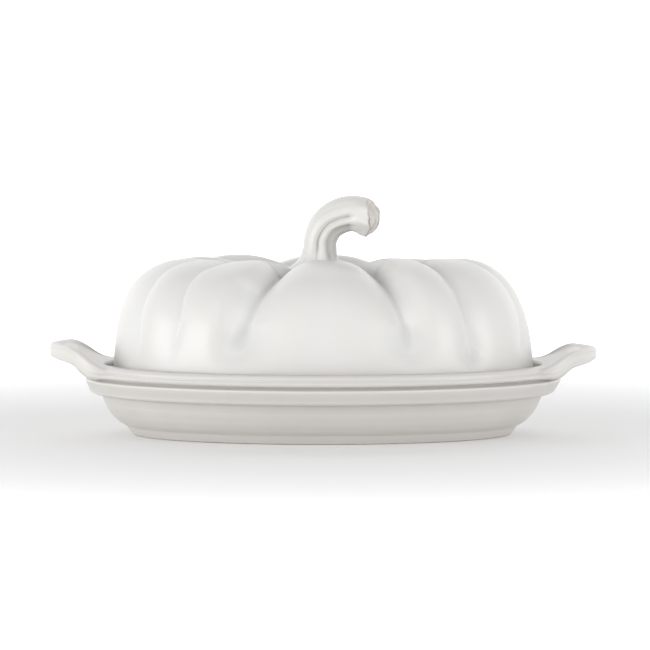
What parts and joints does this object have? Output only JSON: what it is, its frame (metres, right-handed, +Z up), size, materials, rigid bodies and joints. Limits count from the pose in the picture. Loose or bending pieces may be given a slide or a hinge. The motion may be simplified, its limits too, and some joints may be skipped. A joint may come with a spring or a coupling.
{
  "type": "covered butter dish",
  "caption": "Oval glazed stoneware butter dish with lug handles, and a hollow pumpkin-shaped lid that lifts off by its curled stem.",
  "frame": {"origin": "centre of the foot ring's underside, on the surface that the dish stands on", "axes": "+X along the dish from lug to lug, the way the stem curls; +Z up; -Y is the front"},
  "size_m": [0.216, 0.1356, 0.0942],
  "materials": {
    "dish_glaze": "gloss",
    "lid_glaze": "gloss"
  },
  "bodies": {
    "dish": {"dish": "dish_glaze"},
    "lid": {"lid_shell": "lid_glaze", "lid_stem": "lid_glaze"}
  },
  "joints": [
    {"name": "lid_lift", "type": "slide", "parent": "dish", "child": "lid", "axis": [0, 0, 1], "range_m": [0, 0.1]}
  ]
}
